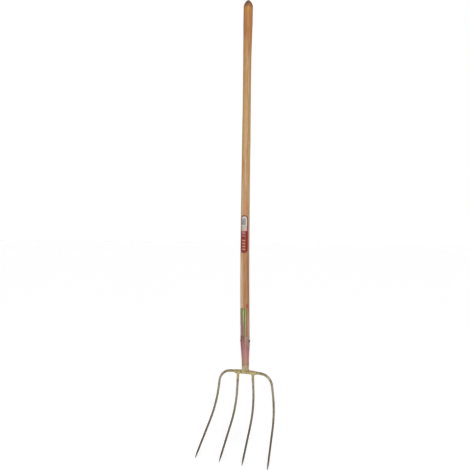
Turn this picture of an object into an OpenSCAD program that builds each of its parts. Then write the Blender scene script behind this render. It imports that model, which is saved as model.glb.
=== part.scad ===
// Manure fork: four dished tines on an arched bow, a strapped steel socket and a turned ash shaft.
// The tine tips stand on z = 0, +Z runs up the shaft and the tines dish forward, towards -Y.
// x = 0 is the plane of symmetry, and the origin lies under the middle of the whole fork.

/* [Shaft] */
// Length of the ash shaft, from its nose inside the socket to the top of its dome
shaft_length = 1350; // [1100:5:1600]
// Diameter of the knob at the top end
knob_d = 35; // [32:0.2:40]
// Length of the knob's straight stretch
knob_length = 69; // [40:1:110]
// Height of the rounded end above the knob
dome_height = 26; // [16:1:34]
// Length over which the knob thins down to the hand hold
flare_length = 186; // [120:2:260]
// Diameter at the slim hand hold
grip_d = 30.2; // [26:0.2:32]

/* [Socket] */
// Outer diameter of the socket at its mouth
socket_d = 35.2; // [32:0.2:38]
// Thickness of the socket's wall and of the straps
socket_wall = 1.8; // [1.4:0.1:2.6]
// Length of the straight mouth
mouth_length = 30; // [26:1:50]
// Length of the cone below the mouth
cone_length = 60; // [40:1:90]
// Length of the narrow tail below the cone
tail_length = 16; // [12:1:30]
// Outer diameter of the tail and of the neck
neck_d = 27.8; // [24:0.2:29]

/* [Neck] */
// Height of the socket's lower rim above the middle of the bow
neck_length = 27; // [22:1:40]
// Thickness of the neck where it meets the bow, front to back
neck_thickness = 13; // [12:0.5:18]
// Distance by which the neck's spigot stops short of the socket's cone
spigot_short = 4; // [1:0.5:8]
// Depth to which the neck's saddle wraps down over the bow
saddle_depth = 2; // [1.5:0.5:4]

/* [Straps] */
// Length of each strap above the mouth of the socket
strap_length = 105; // [96:1:150]
// Width of each strap, straight across
strap_width = 25; // [18:0.5:27]
// Corner radius at the top of each strap
strap_corner = 5; // [2:0.5:8]
// Distance by which the straps stand proud of the wood
strap_proud = 0.3; // [0:0.1:1]

/* [Rivets] */
// Shank diameter of the rivet that crosses the socket
side_rivet_d = 6; // [5:0.5:8]
// Head diameter of the side rivet
side_head_d = 10.6; // [9.6:0.2:14]
// Height of the side rivet's heads above the socket
side_head_height = 3.8; // [2.4:0.2:4.6]
// Distance of the side rivet below the mouth of the socket
side_rivet_drop = 18; // [9:0.5:20]
// Shank diameter of the rivets through the straps
strap_rivet_d = 5; // [4:0.5:6]
// Diameter of their countersunk heads
strap_head_d = 9; // [8:0.2:11]
// Depth of their countersunk heads
strap_head_depth = 1.5; // [1:0.1:2]
// Distance of the upper strap rivet below the top of the strap
strap_rivet_inset = 20; // [12:1:24]
// Distance between the two strap rivets
strap_rivet_spacing = 60; // [40:1:62]

/* [Bow and tines] */
// Height of the bow's arch above the tine tips, at its middle
bow_height = 314; // [280:1:360]
// Radius of the bow's gentle arch
arch_radius = 880; // [600:10:1400]
// Radius of the bow's shoulders
corner_radius = 47; // [32:1:56]
// Distance between the lines of the outer tines, at the height of the bow
outer_spacing = 208; // [190:1:240]
// Distance between the inner tines, at the height of the bow
inner_spacing = 61; // [50:1:76]
// Outward lean of the outer tines, in degrees
outer_splay = 7.9; // [4:0.1:10]
// Outward lean of the inner tines, in degrees
inner_splay = 2.9; // [0.5:0.1:4]
// Straight drop below the bow before the tines bend forward
straight_drop = 66; // [50:1:100]
// Radius of the forward bend
dish_radius = 232; // [180:2:280]
// Angle of the forward bend, in degrees
dish_angle = 32.3; // [20:0.1:38]
// Diameter of the bow in its middle, where the inner tines and the neck are forged on
bar_d = 15.6; // [14:0.2:17]
// Diameter of the bow's slimmer arms, outside the inner tines
arm_d = 11.4; // [10.6:0.2:12]
// Length over which the thick middle of the bow thins down to an arm
arm_ease = 12; // [10:1:20]
// Distance by which the thick middle hangs below the line of the arms
thick_drop = 1.5; // [0:0.1:2]
// Diameter of a tine at the height of the bow
tine_d = 8.8; // [8:0.2:9.6]
// Diameter of an inner tine's forged root under the bow
inner_root_d = 10.2; // [9.6:0.2:10.4]
// Length of that root, from the middle of the bow
inner_root_length = 30; // [22:1:36]
// Length over which the root thins down to the tine
inner_root_ease = 20; // [12:1:24]
// Diameter of a tine where its point begins
tine_end_d = 7.2; // [6:0.2:8]
// Height of the point
point_height = 30; // [20:1:50]
// Diameter of the blunted tip
tip_d = 1.6; // [1:0.1:3]

/* [Welds] */
// Height of the fillet weld under the bow, at the root of an inner tine
root_weld_height = 8; // [5:0.5:14]
// Width of that fillet weld beside the tine
root_weld_width = 3.2; // [2:0.2:5]
// Radius of the weld beads between the neck and the bow
bow_bead_r = 2.2; // [1.6:0.1:3]
// Height of the butt weld between a strap and the socket
strap_weld_height = 2; // [1.5:0.1:3]
// Distance by which the butt welds and the ring weld stand proud of the steel
weld_proud = 0.3; // [0.1:0.05:0.6]

/* [Label] */
// Height of the label's lower end above the mouth of the socket
label_rise = 310; // [200:2:420]
// Length of the label
label_length = 141; // [110:1:180]
// Width of the label, straight across
label_width = 26.4; // [22:0.2:27]
// Thickness of the label
label_thickness = 0.25; // [0.2:0.05:0.5]
// Turn of the label from the front of the fork, in degrees
label_turn = 14; // [-30:1:30]
// Length of the white sticker on the label
sticker_length = 54; // [40:1:70]
// Width of the white sticker, straight across
sticker_width = 21; // [14:0.5:21.5]
// Distance of the sticker's top below the label's top
sticker_margin = 4; // [3:0.5:12]
// Thickness of the white sticker
sticker_thickness = 0.2; // [0.15:0.05:0.4]

/* [Clearances] */
// Gap between wood and steel, and round a rivet
fit_gap = 0.1; // [0.05:0.05:0.2]
// Gap that parts a weld from what it joins
weld_gap = 0.05; // [0.03:0.01:0.1]
// Gap under a glued film
film_gap = 0.1; // [0.05:0.05:0.2]

/* [Hidden] */
$fn = 64;

// Colours of the finished fork
ash = "#c79b6a";
plated = "#a99a66";
rose = "#b58580";
green = "#8f9a68";
red = "#93373a";
white = "#d8d2cb";

// Heights, from the bow up
mid_z = bow_height - thick_drop;
bow_top_z = mid_z + bar_d / 2;
saddle_z = bow_top_z - saddle_depth;
rim_z = bow_height + neck_length;
tail_z = rim_z + tail_length;
cone_z = tail_z + cone_length;
mouth_z = cone_z + mouth_length;
strap_top_z = mouth_z + strap_length;
spigot_z = tail_z - spigot_short;
nose_z = spigot_z + fit_gap;
top_z = nose_z + shaft_length;
knob_z = top_z - dome_height;
flare_z = knob_z - knob_length;
grip_z = flare_z - flare_length;
label_z = mouth_z + label_rise;
sticker_z = label_z + label_length - sticker_margin - sticker_length;
side_rivet_z = mouth_z - side_rivet_drop;
upper_rivet_z = strap_top_z - strap_rivet_inset;
strap_rivet_zs = [upper_rivet_z, upper_rivet_z - strap_rivet_spacing];

// Radii that several pieces share
socket_r = socket_d / 2;
bore_r = socket_r - socket_wall;
neck_r = neck_d / 2;
tail_bore_r = neck_r - socket_wall;
shaft_low_r = socket_r - strap_proud;

// Bevels hold the ring weld and leave a narrow land on the socket's lower rim
rim_land = 0.3;
ring_bevel = socket_wall - rim_land;
neck_flat_z = rim_z - weld_gap - ring_bevel;

// Shape of the dome: 2 is an ellipse, and less is more pointed
dome_fullness = 1.6;
// Steps along the dome, the flare, a film and a fillet
dome_steps = 10;
flare_steps = 12;
film_steps = 4;
fillet_steps = 6;
// Thickness at the lower edge of a fillet weld
feather = 0.6;
// Height of the straight rim under a rivet's round head, and the step from the rim to the round
head_rim = 0.4;
head_step = 0.3;
// Room beyond a cut, so that it leaves no skin
over = 1;

// Tines: where they bend, and how they turn into the bow
dish_start = bow_height - straight_drop;
bend_drop = dish_radius * sin(dish_angle);
outer_x = outer_spacing / 2;
inner_x = inner_spacing / 2;
shoulder_gap = arch_radius - corner_radius;
leg_reach = outer_x * cos(outer_splay) + arch_radius * sin(outer_splay) - corner_radius;
arch_angle = outer_splay + acos(leg_reach / shoulder_gap);
corner_x = shoulder_gap * cos(arch_angle);
corner_z = bow_height - arch_radius + shoulder_gap * sin(arch_angle);
leg_x = corner_x + corner_radius * cos(outer_splay);
leg_z = corner_z + corner_radius * sin(outer_splay);
// The bow keeps its full thickness nearly to the outer edge of the inner tines' welds
thick_x = inner_x + inner_root_d / 2 + 0.6 * root_weld_width;
// Height of the centre of a tip, so that its rim stands on z = 0
tip_lean = atan(norm([tan(outer_splay), tan(dish_angle)]));
tip_z = tip_d / 2 * sin(tip_lean);
// Sides of a swept bar, and rings along its stretches
bar_sides = 16;
arch_rings = 16;
corner_rings = 12;
drop_rings = 6;
bend_rings = 10;
low_rings = 4;
point_rings = 6;

// The shaft stands behind the origin, so that the origin is under the middle of the fork
front_reach = dish(tip_z) + tip_d / 2 * cos(dish_angle);
back_reach = max(knob_d / 2, socket_r + weld_proud);
shaft_y = (front_reach - back_reach) / 2;

// Forward reach of the tines at a height above the tips
function dish(z) =
    let (drop = dish_start - z)
    drop <= 0 ? 0
    : drop <= bend_drop ? dish_radius - sqrt(dish_radius ^ 2 - drop ^ 2)
    : dish_radius * (1 - cos(dish_angle)) + (drop - bend_drop) * tan(dish_angle);

// Radius of a tine at a height above the tips: a slow taper, then a rounded point
function tine_r(z, root_z) =
    z >= point_height
    ? tine_end_d / 2 + (tine_d - tine_end_d) / 2 * (z - point_height) / (root_z - point_height)
    : tip_d / 2 + (tine_end_d - tip_d) / 2 * sin(90 * (z - tip_z) / (point_height - tip_z));

// Growth of an inner tine's radius at a height above the tips: full at the root, then a smooth ease
function root_growth(z) =
    let (share = min(1, max(0, (bow_height - inner_root_length - z) / inner_root_ease)))
    (inner_root_d - tine_d) / 2 * (1 + cos(180 * share)) / 2;

// Share of the bow's extra thickness at a distance from its middle: all of it, then a smooth ease
function thickening(x) = (1 + cos(180 * min(1, max(0, (x - thick_x) / arm_ease)))) / 2;

// Radius of the bow at a distance from its middle: a thick middle on slowly tapered arms
function bow_r(x) =
    let (share = min(1, max(0, (x - thick_x) / (leg_x - thick_x))))
    arm_d / 2 + (tine_d - arm_d) / 2 * share + (bar_d - arm_d) / 2 * thickening(x);

// Ring of the bow at a place on the line of its arch and shoulders
function bow_ring(x, z) = [x, 0, z - thick_drop * thickening(x), bow_r(x)];

// Radius of the rounded end at a share of its height
function dome_r(share) = knob_d / 2 * max(0, 1 - share ^ dome_fullness) ^ (1 / dome_fullness);

// Radius of the shaft between the mouth of the socket and the knob
function shaft_r(z) =
    z >= grip_z ? grip_d / 2 + (knob_d - grip_d) / 2 * ((z - grip_z) / flare_length) ^ 2
    : z >= strap_top_z
    ? shaft_low_r + (grip_d / 2 - shaft_low_r) * (z - strap_top_z) / (grip_z - strap_top_z)
    : shaft_low_r;

function unit(v) = v / norm(v);
function mirrored(ring) = [-ring[0], ring[1], ring[2], ring[3]];
function reversed(list) = [for (i = [len(list) - 1 : -1 : 0]) list[i]];

// Heights of the rings down a tine, from its root to its tip
function tine_heights(root_z) =
    let (bend_z = dish_start - bend_drop)
    concat(
        [for (i = [0 : drop_rings - 1]) root_z + (dish_start - root_z) * i / drop_rings],
        [for (i = [0 : bend_rings]) dish_start - dish_radius * sin(dish_angle * i / bend_rings)],
        [for (i = [1 : low_rings]) bend_z + (point_height - bend_z) * i / low_rings],
        [for (i = [1 : point_rings]) point_height + (tip_z - point_height) * i / point_rings]);

// Rings [x, y, z, radius] down a tine that leans out from x at the height of the bow
function tine_rings(x, splay, root_z) =
    [for (z = tine_heights(root_z)) [x + (bow_height - z) * tan(splay), -dish(z), z, tine_r(z, root_z)]];

// Rings of the right inner tine, with its thicker root
inner_rings = [for (ring = tine_rings(inner_x, inner_splay, mid_z))
    [ring[0], ring[1], ring[2], ring[3] + root_growth(ring[2])]];

// Rings of the right half of the bow: arch, shoulder and outer tine
half_bow = concat(
    [for (i = [1 : arch_rings])
        let (a = 90 + (arch_angle - 90) * i / arch_rings)
        bow_ring(arch_radius * cos(a), bow_height - arch_radius + arch_radius * sin(a))],
    [for (i = [1 : corner_rings - 1])
        let (a = arch_angle + (outer_splay - arch_angle) * i / corner_rings)
        bow_ring(corner_x + corner_radius * cos(a), corner_z + corner_radius * sin(a))],
    tine_rings(outer_x, outer_splay, leg_z));
left_half_bow = [for (ring = half_bow) mirrored(ring)];
bow_rings = concat(reversed(left_half_bow), [bow_ring(0, bow_height)], half_bow);

// Stands the fork behind the origin
module placed() {
    translate([0, shaft_y, 0]) children();
}

// Round bar through rings of [x, y, z, radius], each square to its path
module swept_bar(rings) {
    n = len(rings);
    at = [for (ring = rings) [ring[0], ring[1], ring[2]]];
    points = [for (i = [0 : n - 1])
        let (t = unit(at[min(i + 1, n - 1)] - at[max(i - 1, 0)]),
             b = unit([0, 1, 0] - t[1] * t),
             s = cross(b, t))
        for (k = [0 : bar_sides - 1])
            let (turn = 360 * k / bar_sides)
            at[i] + rings[i][3] * (cos(turn) * s + sin(turn) * b)];
    walls = [for (i = [0 : n - 2], k = [0 : bar_sides - 1])
        let (a = i * bar_sides + k,
             b = i * bar_sides + (k + 1) % bar_sides)
        each [[a, a + bar_sides, b], [b, a + bar_sides, b + bar_sides]]];
    caps = [[for (k = [0 : bar_sides - 1]) k],
            [for (k = [bar_sides - 1 : -1 : 0]) (n - 1) * bar_sides + k]];
    polyhedron(points, concat(walls, caps));
}

// The thick middle of the bow as a true cylinder along the arch at x, to fit pieces against
module bar_at(x, grow) {
    lean = asin(x / arch_radius);
    translate([x, 0, mid_z - arch_radius * (1 - cos(lean))])
        rotate([0, 90 + lean, 0])
            cylinder(d = bar_d + 2 * grow, h = 2 * neck_d, center = true);
}

// Stands a front-view outline at a height and extends it forward from the shaft's axis
module front_plate(z) {
    translate([0, 0, z])
        rotate([90, 0, 0])
            linear_extrude(socket_d)
                children();
}

// Straight tube between two heights
module tube(low_z, high_z, inner_r, outer_r) {
    translate([0, 0, low_z])
        difference() {
            cylinder(r = outer_r, h = high_z - low_z);
            translate([0, 0, -over]) cylinder(r = inner_r, h = high_z - low_z + 2 * over);
        }
}

// Bar from side to side at the side rivet
module side_bar(r, reach) {
    translate([0, 0, side_rivet_z])
        rotate([0, 90, 0])
            cylinder(r = r, h = 2 * reach, center = true);
}

// Bar from front to back at a strap rivet
module cross_bar(z, r) {
    translate([0, 0, z])
        rotate([90, 0, 0])
            cylinder(r = r, h = 2 * (socket_r + over), center = true);
}

// Countersunk heads at both ends of a strap rivet
module countersinks(z, grow) {
    for (half = [0, 180])
        translate([0, 0, z])
            rotate([90, 0, half])
                translate([0, 0, socket_r - strap_head_depth]) {
                    cylinder(r1 = strap_rivet_d / 2 + grow, r2 = strap_head_d / 2 + grow, h = strap_head_depth);
                    translate([0, 0, strap_head_depth]) cylinder(r = strap_head_d / 2 + grow, h = over);
                }
}

// Turned shaft, relieved for the straps and drilled for the rivets
module handle() {
    color(ash)
        placed()
            difference() {
                rotate_extrude()
                    polygon(concat(
                        [[0, nose_z],
                         [tail_bore_r - fit_gap, nose_z],
                         [tail_bore_r - fit_gap, tail_z],
                         [bore_r - fit_gap, cone_z],
                         [bore_r - fit_gap, mouth_z + fit_gap],
                         [shaft_low_r, mouth_z + fit_gap],
                         [shaft_low_r, strap_top_z]],
                        [for (i = [0 : flare_steps])
                            let (z = grip_z + flare_length * i / flare_steps)
                            [shaft_r(z), z]],
                        [for (i = [0 : dome_steps])
                            let (share = sin(90 * i / dome_steps))
                            [dome_r(share), knob_z + dome_height * share]]));
                for (half = [0, 180])
                    rotate([0, 0, half])
                        strap_blank(fit_gap);
                side_bar(side_rivet_d / 2 + fit_gap, socket_r);
                for (z = strap_rivet_zs)
                    cross_bar(z, strap_rivet_d / 2 + fit_gap);
            }
}

// Rolled socket: straight mouth, cone and narrow tail, bevelled at its lower rim
module socket() {
    color(rose)
        placed()
            difference() {
                rotate_extrude()
                    polygon([[tail_bore_r, rim_z],
                             [neck_r - ring_bevel, rim_z],
                             [neck_r, rim_z + ring_bevel],
                             [neck_r, tail_z],
                             [socket_r, cone_z],
                             [socket_r, mouth_z],
                             [bore_r, mouth_z],
                             [bore_r, cone_z],
                             [tail_bore_r, tail_z]]);
                side_bar(side_rivet_d / 2 + fit_gap, socket_r + over);
            }
}

// Neck below the ring weld: round at the socket, thinned front and back to the bow
module neck_blank(grow) {
    half = neck_thickness / 2 + grow;
    wide = neck_r + grow;
    intersection() {
        translate([0, 0, saddle_z - grow])
            cylinder(r = wide, h = neck_flat_z - saddle_z + grow);
        rotate([90, 0, 90])
            linear_extrude(neck_d + 2 * over, center = true)
                polygon([[-half, saddle_z - grow],
                         [half, saddle_z - grow],
                         [half, bow_top_z],
                         [wide, neck_flat_z],
                         [-wide, neck_flat_z],
                         [-half, bow_top_z]]);
    }
}

// Forged neck: a spigot in the socket's tail, a bevel for the ring weld and a saddle on the bow
module neck() {
    color(rose)
        placed()
            difference() {
                union() {
                    neck_blank(0);
                    translate([0, 0, neck_flat_z])
                        cylinder(r1 = neck_r, r2 = neck_r - ring_bevel, h = ring_bevel);
                    translate([0, 0, neck_flat_z])
                        cylinder(r = tail_bore_r - fit_gap, h = spigot_z - neck_flat_z);
                }
                bar_at(0, weld_gap);
            }
}

// Front strap and the butt weld below it as one blank, with room around it
module strap_blank(room) {
    width = strap_width + 2 * room;
    corner = strap_corner + room;
    height = strap_length + room;
    intersection() {
        tube(mouth_z, strap_top_z + room, bore_r - room, socket_r);
        front_plate(mouth_z) {
            translate([-width / 2, 0]) square([width, height - corner]);
            translate([corner - width / 2, 0]) square([width - 2 * corner, height]);
            for (side = [-1, 1])
                translate([side * (width / 2 - corner), height - corner]) circle(r = corner);
        }
    }
}

// Strap along the front of the shaft, above its butt weld
module strap() {
    difference() {
        strap_blank(0);
        tube(mouth_z - over, mouth_z + strap_weld_height, bore_r - over, socket_r + over);
        for (z = strap_rivet_zs) {
            cross_bar(z, strap_rivet_d / 2 + fit_gap);
            countersinks(z, fit_gap);
        }
    }
}

module front_strap() {
    color(green) placed() strap();
}

module back_strap() {
    color(green) placed() rotate([0, 0, 180]) strap();
}

// Butt weld between a strap and the socket, with a low crown
module strap_weld() {
    bead_r = strap_weld_height / 2 - weld_gap;
    intersection() {
        rotate_extrude()
            translate([0, mouth_z + strap_weld_height / 2]) {
                translate([bore_r, -bead_r])
                    square([socket_wall + weld_proud - bead_r, 2 * bead_r]);
                translate([socket_r + weld_proud - bead_r, 0])
                    circle(r = bead_r);
            }
        front_plate(mouth_z)
            translate([-strap_width / 2, 0])
                square([strap_width, strap_weld_height]);
    }
}

module front_strap_weld() {
    color(rose) placed() strap_weld();
}

module back_strap_weld() {
    color(rose) placed() rotate([0, 0, 180]) strap_weld();
}

// Weld in the groove between the socket's lower rim and the neck
module ring_weld() {
    root_r = neck_r - ring_bevel + 2 * weld_gap;
    side = neck_r - root_r;
    color(rose)
        placed()
            rotate_extrude()
                polygon([[root_r, rim_z],
                         [neck_r, rim_z - side],
                         [neck_r + weld_proud, rim_z - side / 2],
                         [neck_r + weld_proud, rim_z + side / 2],
                         [neck_r, rim_z + side]]);
}

// Two beads that join the neck's saddle to the bow, front and back
module bow_welds() {
    half = neck_thickness / 2;
    end_x = sqrt(neck_r ^ 2 - half ^ 2);
    color(plated)
        placed()
            for (side = [-1, 1])
                difference() {
                    translate([0, side * half, saddle_z]) {
                        rotate([0, 90, 0])
                            cylinder(r = bow_bead_r, h = 2 * end_x, center = true);
                        for (end = [-1, 1])
                            translate([end * end_x, 0, 0]) sphere(r = bow_bead_r);
                    }
                    bar_at(0, weld_gap);
                    neck_blank(weld_gap);
                }
}

// One bent bar: the bow and the two outer tines
module outer_tine_bow() {
    color(plated) placed() swept_bar(bow_rings);
}

// Right inner tine, with its top coped to the bow
module inner_tine() {
    difference() {
        swept_bar(inner_rings);
        bar_at(inner_x, weld_gap);
    }
}

module inner_tine_left() {
    color(plated) placed() mirror([1, 0, 0]) inner_tine();
}

module inner_tine_right() {
    color(plated) placed() inner_tine();
}

// Fillet weld round the root of the right inner tine, under the bow
module inner_weld() {
    hole_r = inner_root_d / 2 + weld_gap;
    rim_r = inner_root_d / 2 + root_weld_width;
    width = rim_r - hole_r - feather;
    low = -thick_drop - bar_d / 2 - root_weld_height;
    depth = 2 * (hole_r + feather);
    intersection() {
        difference() {
            translate([inner_x, 0, bow_height])
                rotate([0, -inner_splay, 0])
                    rotate_extrude()
                        polygon(concat(
                            [[hole_r, 0], [hole_r, low]],
                            [for (i = [fillet_steps : -1 : 0])
                                let (a = 90 * i / fillet_steps)
                                [rim_r - width * sin(a), low + root_weld_height * cos(a)]],
                            [[rim_r, 0]]));
            bar_at(inner_x, weld_gap);
        }
        translate([inner_x - 2 * rim_r, -depth / 2, bow_height + 2 * low])
            cube([4 * rim_r, depth, -2 * low]);
    }
}

module inner_weld_left() {
    color(plated) placed() mirror([1, 0, 0]) inner_weld();
}

module inner_weld_right() {
    color(plated) placed() inner_weld();
}

// Rivet from side to side through the socket and the shaft, with round heads
module side_rivet() {
    round_r = side_head_d / 2 - head_step;
    round_height = side_head_height - head_rim;
    ball_r = (round_r ^ 2 + round_height ^ 2) / (2 * round_height);
    skirt = socket_r - sqrt(socket_r ^ 2 - side_head_d ^ 2 / 4);
    color(plated)
        placed() {
            side_bar(side_rivet_d / 2, socket_r + side_head_height / 2);
            difference() {
                translate([0, 0, side_rivet_z])
                    for (half = [-90, 90])
                        rotate([0, half, 0]) {
                            intersection() {
                                translate([0, 0, socket_r + side_head_height - ball_r]) sphere(r = ball_r);
                                translate([0, 0, socket_r + head_rim / 2])
                                    cylinder(d = side_head_d, h = side_head_height + over);
                            }
                            translate([0, 0, socket_r - skirt])
                                cylinder(d = side_head_d, h = skirt + head_rim);
                        }
                translate([0, 0, side_rivet_z - side_head_d])
                    cylinder(r = socket_r + weld_gap, h = 2 * side_head_d);
            }
        }
}

// Countersunk rivets through both straps and the shaft, dressed flush with the straps
module strap_rivets() {
    color(green)
        placed()
            for (z = strap_rivet_zs)
                intersection() {
                    union() {
                        cross_bar(z, strap_rivet_d / 2);
                        countersinks(z, 0);
                    }
                    translate([0, 0, z - strap_head_d])
                        cylinder(r = socket_r, h = 2 * strap_head_d);
                }
}

// Film round the shaft between two heights, at a distance from the wood
module film(low_z, length, gap, thickness) {
    zs = [for (i = [0 : film_steps]) low_z + length * i / film_steps];
    rotate_extrude()
        polygon(concat(
            [for (z = zs) [shaft_r(z) + gap, z]],
            [for (z = reversed(zs)) [shaft_r(z) + gap + thickness, z]]));
}

// Label with round ends, near the front of the shaft
module label() {
    color(red)
        placed()
            rotate([0, 0, label_turn])
                intersection() {
                    film(label_z, label_length, film_gap, label_thickness);
                    front_plate(label_z) {
                        translate([-label_width / 2, label_width / 2])
                            square([label_width, label_length - label_width]);
                        for (y = [label_width / 2, label_length - label_width / 2])
                            translate([0, y]) circle(d = label_width);
                    }
                }
}

// White sticker with a round top, on the upper part of the label
module sticker() {
    color(white)
        placed()
            rotate([0, 0, label_turn])
                intersection() {
                    film(sticker_z, sticker_length, label_thickness + 2 * film_gap, sticker_thickness);
                    front_plate(sticker_z) {
                        translate([-sticker_width / 2, 0])
                            square([sticker_width, sticker_length - sticker_width / 2]);
                        translate([0, sticker_length - sticker_width / 2]) circle(d = sticker_width);
                    }
                }
}

handle();
socket();
neck();
front_strap();
back_strap();
front_strap_weld();
back_strap_weld();
ring_weld();
bow_welds();
outer_tine_bow();
inner_tine_left();
inner_tine_right();
inner_weld_left();
inner_weld_right();
side_rivet();
strap_rivets();
label();
sticker();
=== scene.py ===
# %% [markdown]
# # Dressing a manure fork
# The fork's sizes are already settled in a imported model: a turned ash shaft, a steel socket with two
# straps, a forged neck, and an arched bow with four dished tines. This lesson models each of those
# pieces again with the marks that a maker leaves on it: rounded edges, rippled welds, hammered heads
# and streaky plating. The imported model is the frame, so places and heights are read from it.

# %% Load the frame
from math import acos, asin, atan, cos, hypot, pi, radians, sin, sqrt, tan

import bmesh
import bpy
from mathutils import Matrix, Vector


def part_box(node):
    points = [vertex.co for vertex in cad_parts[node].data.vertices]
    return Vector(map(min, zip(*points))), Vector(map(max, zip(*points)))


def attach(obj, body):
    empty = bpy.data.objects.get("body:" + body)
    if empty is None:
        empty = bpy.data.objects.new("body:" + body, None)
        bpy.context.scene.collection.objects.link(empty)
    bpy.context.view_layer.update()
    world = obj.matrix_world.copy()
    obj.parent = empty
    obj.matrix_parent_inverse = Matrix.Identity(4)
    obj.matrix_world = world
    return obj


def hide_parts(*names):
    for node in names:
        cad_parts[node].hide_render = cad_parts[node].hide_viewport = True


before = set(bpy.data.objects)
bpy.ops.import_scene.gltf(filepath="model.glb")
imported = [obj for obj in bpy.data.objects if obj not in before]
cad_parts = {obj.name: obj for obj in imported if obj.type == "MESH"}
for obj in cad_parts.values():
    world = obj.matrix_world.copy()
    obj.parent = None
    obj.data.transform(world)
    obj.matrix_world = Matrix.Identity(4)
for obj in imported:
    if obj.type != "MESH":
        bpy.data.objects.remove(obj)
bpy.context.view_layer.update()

bpy.ops.object.select_all(action="DESELECT")

# %% [markdown]
# ## The camera
# The camera stands where the photographer stood: to the right of the fork's front, level with the
# middle of the shaft. Its lens follows from the focal length in pixels of a square picture. The
# picture was taken with the shaft a little right of the middle and with a slight lean, so the lens is
# shifted and the camera is rolled by those amounts.

# %% Place the camera
mm = 0.001
photo_width_px = 470
focal_px = 728.2
shaft_column_px = 246.5
camera_turn = radians(27)
camera_roll = radians(0.46)
camera_distance = 2.7235
camera_height = 0.8246

shaft_low, shaft_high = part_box("handle")
axis_y = (shaft_low.y + shaft_high.y) / 2
shaft_axis = Vector((0, axis_y, 0))


def round_shaft(turn, reach, z):
    """A place so far from the shaft's axis, at an angle from its front to the right."""
    return shaft_axis + Vector((reach * sin(turn), -reach * cos(turn), z))


bpy.ops.object.camera_add(location=round_shaft(camera_turn, camera_distance, camera_height),
                          rotation=(pi / 2, -camera_roll, camera_turn))
camera = bpy.context.object
camera.data.lens = focal_px / photo_width_px * camera.data.sensor_width
camera.data.shift_x = (photo_width_px / 2 - shaft_column_px) / photo_width_px
bpy.context.scene.camera = camera
print("lens, mm:", round(camera.data.lens, 2), "shift:", round(camera.data.shift_x, 4))

# %% [markdown]
# ## Small tools
# Working by hand in Blender is a chain of the same few moves: add a primitive, open it, pick some of
# its corners by their place, run an operator, close it. These helpers are those moves under short
# names. `settled` matters most: it bakes an object's place into its mesh, so that every finished piece
# sits at the origin and a pattern on Object coordinates lies at the same scale on all of them.

# %% Helpers for editing
merge_gap = 0.005 * mm


def named(name):
    """Names the active object and its data."""
    piece = bpy.context.object
    piece.name = piece.data.name = name
    return piece


def opened(name):
    """Names the active object and opens it with everything selected."""
    piece = named(name)
    bpy.ops.object.mode_set(mode="EDIT")
    bpy.ops.mesh.select_mode(type="VERT")
    bpy.ops.mesh.select_all(action="SELECT")
    return piece


def pick(piece, chosen, kind="verts"):
    """Selects the open mesh's corners or faces for which chosen says yes."""
    mesh = bmesh.from_edit_mesh(piece.data)
    bpy.ops.mesh.select_mode(type={"verts": "VERT", "faces": "FACE"}[kind])
    bpy.ops.mesh.select_all(action="DESELECT")
    for item in getattr(mesh, kind):
        item.select_set(bool(chosen(item)))
    mesh.select_flush_mode()
    bmesh.update_edit_mesh(piece.data)


def extruded(move):
    """Extrudes what is selected in the open mesh, and moves it."""
    bpy.ops.mesh.extrude_region_move(TRANSFORM_OT_translate={"value": move})


def faced_outwards():
    """Turns all faces of the open mesh outwards."""
    bpy.ops.mesh.select_all(action="SELECT")
    bpy.ops.mesh.normals_make_consistent(inside=False)


def only(*pieces):
    """Selects these objects alone, the first of them active."""
    bpy.ops.object.select_all(action="DESELECT")
    for piece in pieces:
        piece.select_set(True)
    bpy.context.view_layer.objects.active = pieces[0]


def settled(piece):
    """Closes the mesh and bakes the object's place into it."""
    if bpy.context.mode != "OBJECT":
        bpy.ops.object.mode_set(mode="OBJECT")
    only(piece)
    bpy.ops.object.transform_apply(location=True, rotation=True, scale=True)
    return piece


def modified(piece, kind, **settings):
    """Adds a modifier, sets it and applies it."""
    only(piece)
    modifier = piece.modifiers.new(kind.lower(), kind)
    for key, value in settings.items():
        setattr(modifier, key, value)
    bpy.ops.object.modifier_apply(modifier=modifier.name)
    return piece


def carved(piece, operation, *tools):
    """Cuts a piece with other solids, or keeps what they share, and throws the tools away."""
    for tool in tools:
        modified(piece, "BOOLEAN", operation=operation, object=tool, solver="EXACT")
        bpy.data.objects.remove(tool)
    opened(piece.name)
    bpy.ops.mesh.remove_doubles(threshold=merge_gap)
    return settled(piece)


def softened(piece, width, segments=3, angle=radians(35)):
    """Rounds every edge that is sharper than the angle."""
    return modified(piece, "BEVEL", width=width, segments=segments, limit_method="ANGLE", angle_limit=angle)


def smooth(piece, angle=radians(40)):
    """Shades a piece smoothly across its gentle edges."""
    only(piece)
    bpy.ops.object.shade_smooth_by_angle(angle=angle)
    print(piece.name, "has", len(piece.data.polygons), "faces")
    return piece

# %% [markdown]
# ## Turning on a lathe
# The shaft, the socket and the rivets are turned or rolled shapes, so all of them can be spun from
# half an outline. A plane merged down to one point is the pencil: each extrude draws one more edge of
# the outline, and Spin turns it round the axis. The seam and the poles are then merged, and the
# normals are made to point outwards, because a spin can leave them inside out.

# %% A lathe
UP = Vector((0, 0, 1))
RIGHT = Vector((1, 0, 0))
BACK = Vector((0, 1, 0))


def pencilled(name, places):
    """Draws a line through places, and leaves it open and selected."""
    bpy.ops.mesh.primitive_plane_add(size=mm, location=places[0])
    piece = opened(name)
    bpy.ops.mesh.merge(type="CENTER")
    for here, there in zip(places, places[1:]):
        extruded(there - here)
    bpy.ops.mesh.select_all(action="SELECT")
    return piece


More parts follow.
